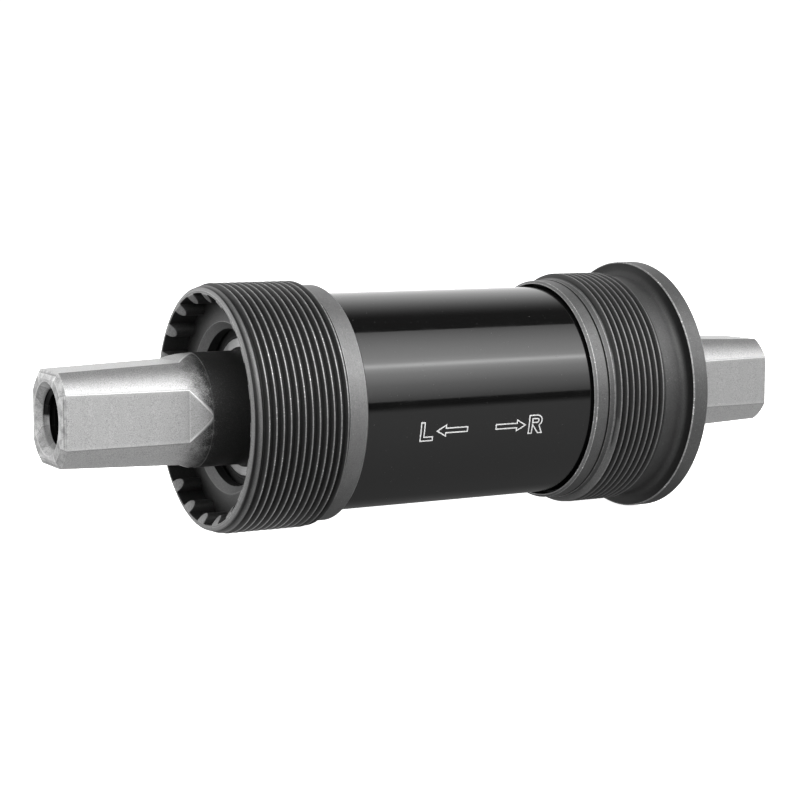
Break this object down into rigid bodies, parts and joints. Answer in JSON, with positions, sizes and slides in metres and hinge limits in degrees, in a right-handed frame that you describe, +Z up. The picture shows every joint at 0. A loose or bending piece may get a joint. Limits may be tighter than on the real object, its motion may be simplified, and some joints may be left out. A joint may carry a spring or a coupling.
{
  "type": "bottom bracket",
  "caption": "Square taper cartridge bottom bracket: threaded flanged cup, threaded loose cup, sealed tube and a spindle turning on ball bearings.",
  "frame": {"origin": "middle of the frame shell on the spindle's axis, which is also the middle of the object's box", "axes": "+X along the spindle towards the flanged drive side, +Z up, +Y to the back"},
  "size_m": [0.116, 0.0376, 0.0376],
  "materials": {
    "spindle_steel": "satin ground tapers, black oxide shaft",
    "spring_steel": "blued",
    "tube_paint": "gloss black over steel",
    "spacer_plastic": "natural moulded",
    "cup_steel": "dark grey phosphate, bright on worn edges",
    "bearing_steel": "ground",
    "ball_steel": "polished",
    "cage_brass": "pressed sheet",
    "rivet_steel": "satin",
    "seal_rubber": "matt moulded"
  },
  "bodies": {
    "cartridge": {"cartridge_tube": "tube_paint", "bearing_spacer": "spacer_plastic", "right_cup": "cup_steel", "left_outer_race": "bearing_steel", "left_outer_seal": "seal_rubber", "left_inner_seal": "seal_rubber", "right_outer_race": "bearing_steel", "right_outer_seal": "seal_rubber", "right_inner_seal": "seal_rubber"},
    "spindle": {"spindle": "spindle_steel", "left_inner_race": "bearing_steel", "right_inner_race": "bearing_steel", "left_snap_ring": "spring_steel", "right_snap_ring": "spring_steel"},
    "left_ball_set": {"left_balls": "ball_steel", "left_cage_outer_half": "cage_brass", "left_cage_inner_half": "cage_brass", "left_cage_rivets": "rivet_steel"},
    "right_ball_set": {"right_balls": "ball_steel", "right_cage_outer_half": "cage_brass", "right_cage_inner_half": "cage_brass", "right_cage_rivets": "rivet_steel"},
    "left_cup": {"left_cup": "cup_steel"}
  },
  "joints": [
    {"name": "spindle_spin", "type": "hinge", "parent": "cartridge", "child": "spindle", "pos_m": [0, 0, 0], "axis": [1, 0, 0], "continuous": true},
    {"name": "left_ball_orbit", "type": "hinge", "parent": "cartridge", "child": "left_ball_set", "pos_m": [-0.0263, 0, 0], "axis": [1, 0, 0], "continuous": true},
    {"name": "right_ball_orbit", "type": "hinge", "parent": "cartridge", "child": "right_ball_set", "pos_m": [0.0263, 0, 0], "axis": [1, 0, 0], "continuous": true},
    {"name": "left_cup_slide", "type": "slide", "parent": "cartridge", "child": "left_cup", "axis": [-1, 0, 0], "range_m": [0, 0.045]}
  ],
  "couplings": [
    {"joint": "left_ball_orbit", "follows": "spindle_spin", "ratio": 0.41101},
    {"joint": "right_ball_orbit", "follows": "spindle_spin", "ratio": 0.41101}
  ]
}
